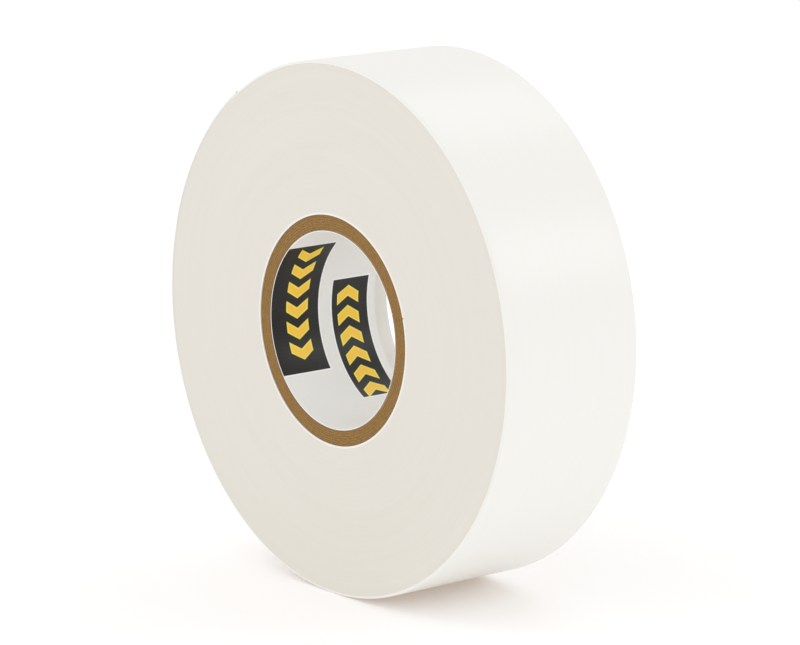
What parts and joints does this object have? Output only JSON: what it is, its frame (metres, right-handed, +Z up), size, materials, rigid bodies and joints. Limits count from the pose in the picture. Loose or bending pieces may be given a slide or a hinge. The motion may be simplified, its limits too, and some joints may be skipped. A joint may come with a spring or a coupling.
{
  "type": "electrical tape roll",
  "caption": "Roll of vinyl electrical tape wound on a spiral paper core with an open bore; the free end of the tape peels off the roll.",
  "frame": {"origin": "centre of the core's bore, halfway along it", "axes": "+Y along the roll's axis, away from the front face; +Z up with the roll standing on its rim; +X to the right of the front face"},
  "size_m": [0.0626, 0.019, 0.0625],
  "materials": {
    "liner_paper": "white coated paper, calendered, printed with plain blocks",
    "kraft_board": "brown kraft core board, spiral wound and cut square",
    "wound_tape": "cut edges of wound white vinyl tape, matte, off-white",
    "vinyl_film": "white calendered PVC film, satin",
    "rubber_adhesive": "thin rubber resin adhesive, slightly glossy"
  },
  "bodies": {
    "roll": {"core_liner": "liner_paper", "core_ply_1": "kraft_board", "core_ply_2": "kraft_board", "core_ply_3": "kraft_board", "core_ply_4": "kraft_board", "core_ply_5": "kraft_board", "core_ply_6": "kraft_board", "tape_first_turn": "vinyl_film", "tape_wound_turns": "wound_tape", "tape_outer_turn_adhesive": "rubber_adhesive", "tape_outer_turn_film": "vinyl_film"},
    "end_stretch_1": {"tape_end_film_1": "vinyl_film", "tape_end_adhesive_1": "rubber_adhesive"},
    "end_stretch_2": {"tape_end_film_2": "vinyl_film", "tape_end_adhesive_2": "rubber_adhesive"},
    "end_stretch_3": {"tape_end_film_3": "vinyl_film", "tape_end_adhesive_3": "rubber_adhesive"},
    "end_stretch_4": {"tape_end_film_4": "vinyl_film", "tape_end_adhesive_4": "rubber_adhesive"}
  },
  "joints": [
    {"name": "peel_1", "type": "hinge", "parent": "roll", "child": "end_stretch_1", "pos_m": [-0.03032, 0, 0.00815], "axis": [0, -1, 0], "range_deg": [0, 45]},
    {"name": "peel_2", "type": "hinge", "parent": "end_stretch_1", "child": "end_stretch_2", "pos_m": [-0.02845, 0, 0.01329], "axis": [0, -1, 0], "range_deg": [0, 45]},
    {"name": "peel_3", "type": "hinge", "parent": "end_stretch_2", "child": "end_stretch_3", "pos_m": [-0.02571, 0, 0.01802], "axis": [0, -1, 0], "range_deg": [0, 45]},
    {"name": "peel_4", "type": "hinge", "parent": "end_stretch_3", "child": "end_stretch_4", "pos_m": [-0.0222, 0, 0.02221], "axis": [0, -1, 0], "range_deg": [0, 45]}
  ]
}
